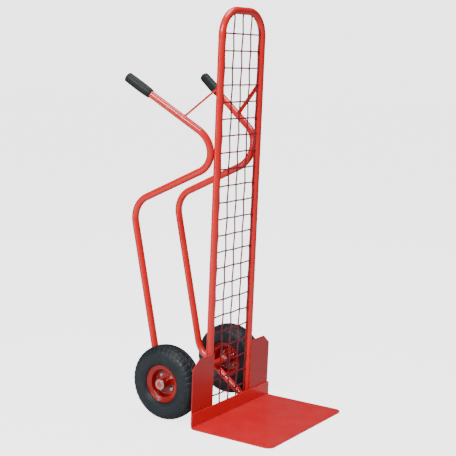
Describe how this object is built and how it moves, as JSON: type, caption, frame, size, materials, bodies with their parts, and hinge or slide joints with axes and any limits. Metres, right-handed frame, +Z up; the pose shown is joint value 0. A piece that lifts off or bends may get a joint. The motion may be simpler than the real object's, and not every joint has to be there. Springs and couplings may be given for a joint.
{
  "type": "hand truck",
  "caption": "Two-wheeled hand truck with a fixed toe plate, tall mesh back, bent side handles with rubber grips and pneumatic wheels.",
  "frame": {"origin": "on the floor, at the middle of the bounding box's base", "axes": "+Z up, the toe plate points to -Y, the handles reach back to +Y, the axle runs along X"},
  "size_m": [0.48, 0.6643, 1.4067],
  "materials": {
    "red_paint": "glossy",
    "wire_paint": "glossy",
    "grip_rubber": "matt",
    "tyre_rubber": "matt",
    "tube_rubber": "matt",
    "zinc": "zinc plated",
    "brass": "bare",
    "cap_plastic": "matt"
  },
  "bodies": {
    "frame": {"back_frame": "red_paint", "mesh_uprights": "wire_paint", "mesh_rungs": "wire_paint", "toe_plate": "red_paint", "left_heel_plate": "red_paint", "right_heel_plate": "red_paint", "left_handle_tube": "red_paint", "right_handle_tube": "red_paint", "left_grip": "grip_rubber", "right_grip": "grip_rubber", "left_brace": "red_paint", "right_brace": "red_paint", "axle_sleeve": "red_paint", "axle": "red_paint", "axle_washers": "zinc", "retaining_rings": "zinc"},
    "left_wheel": {"left_tyre": "tyre_rubber", "left_inner_tube": "tube_rubber", "left_outer_rim_half": "red_paint", "left_inner_rim_half": "red_paint", "left_hub": "red_paint", "left_outer_bearing": "zinc", "left_inner_bearing": "zinc", "left_rim_bolts": "zinc", "left_rim_nuts": "zinc", "left_valve_stem": "brass", "left_valve_cap": "cap_plastic"},
    "right_wheel": {"right_tyre": "tyre_rubber", "right_inner_tube": "tube_rubber", "right_outer_rim_half": "red_paint", "right_inner_rim_half": "red_paint", "right_hub": "red_paint", "right_outer_bearing": "zinc", "right_inner_bearing": "zinc", "right_rim_bolts": "zinc", "right_rim_nuts": "zinc", "right_valve_stem": "brass", "right_valve_cap": "cap_plastic"}
  },
  "joints": [
    {"name": "left_wheel_spin", "type": "hinge", "parent": "frame", "child": "left_wheel", "pos_m": [-0.1915, 0.12183, 0.13], "axis": [1, 0, 0], "continuous": true},
    {"name": "right_wheel_spin", "type": "hinge", "parent": "frame", "child": "right_wheel", "pos_m": [0.1915, 0.12183, 0.13], "axis": [1, 0, 0], "continuous": true}
  ]
}
